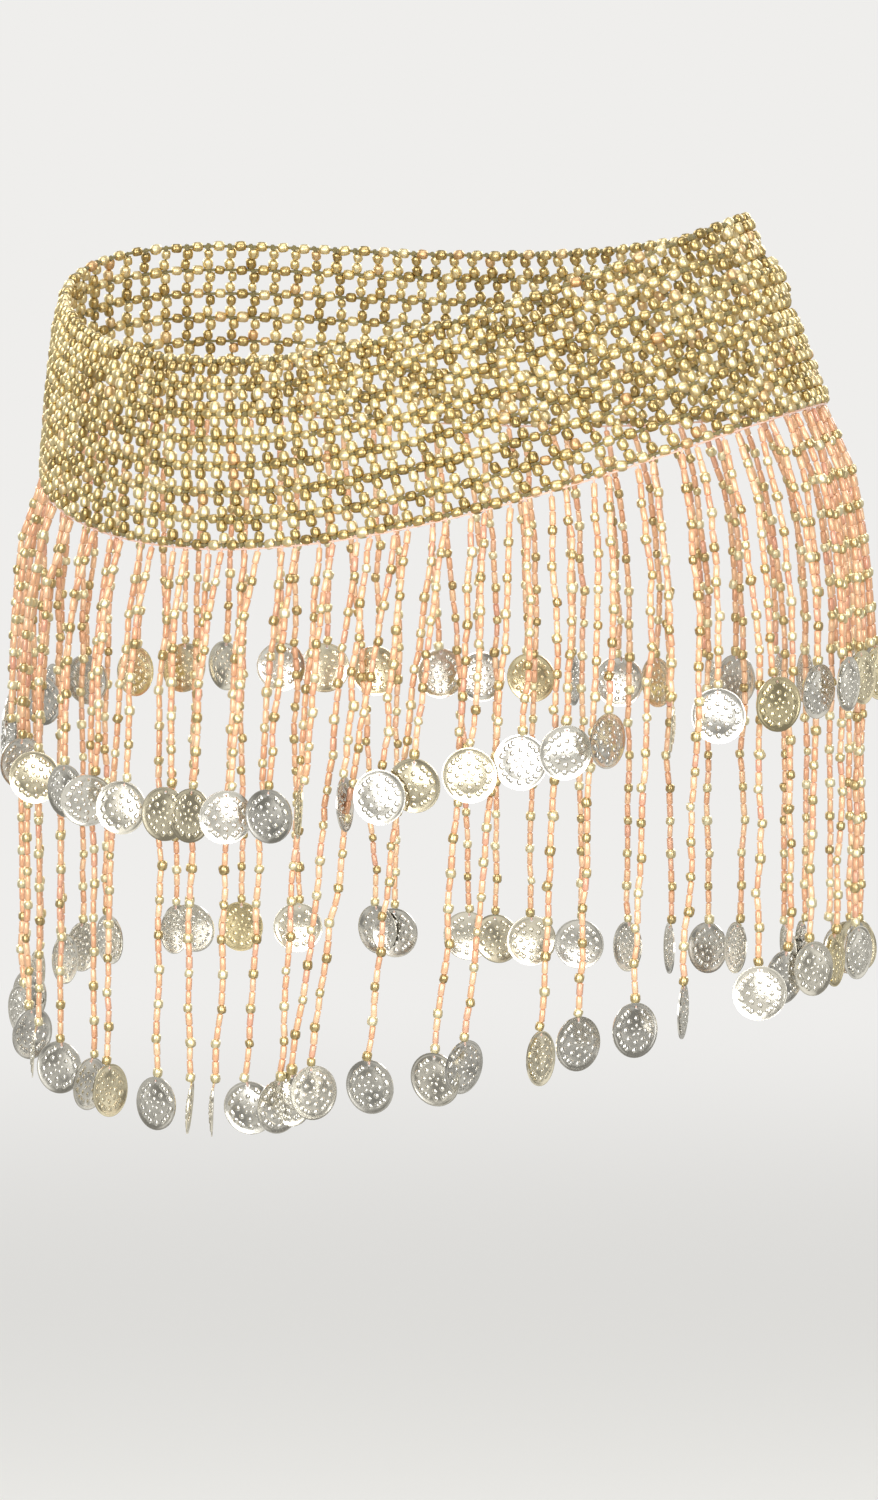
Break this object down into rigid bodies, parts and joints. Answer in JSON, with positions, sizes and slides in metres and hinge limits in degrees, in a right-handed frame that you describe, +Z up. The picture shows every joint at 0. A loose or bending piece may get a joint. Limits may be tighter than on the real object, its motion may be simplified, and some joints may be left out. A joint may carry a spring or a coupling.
{
  "type": "beaded belly dance hip belt with coin fringe",
  "caption": "Stretchy netted bead hip belt, worn and hollow, with two tiers of hanging bead strands that end in thin stamped coins.",
  "frame": {"origin": "middle of the hips inside the band, where the wearer holds the belt up", "axes": "+Z up, -Y towards the wearer's front, +X towards the wearer's left"},
  "size_m": [0.376, 0.264, 0.3404],
  "materials": {
    "gold_beads": "pale gold metallised beads",
    "thread": "pale elastic thread",
    "strand_beads": "champagne lustre tube beads and gold round beads",
    "coins": "pale gold plated stamped sheet"
  },
  "bodies": {
    "root": {"band_top_rope": "gold_beads", "band_net": "gold_beads", "band_lower_rope": "gold_beads", "hanging_thread": "thread", "long_strands": "strand_beads", "long_coins": "coins", "short_strands": "strand_beads", "short_coins": "coins"}
  },
  "joints": []
}
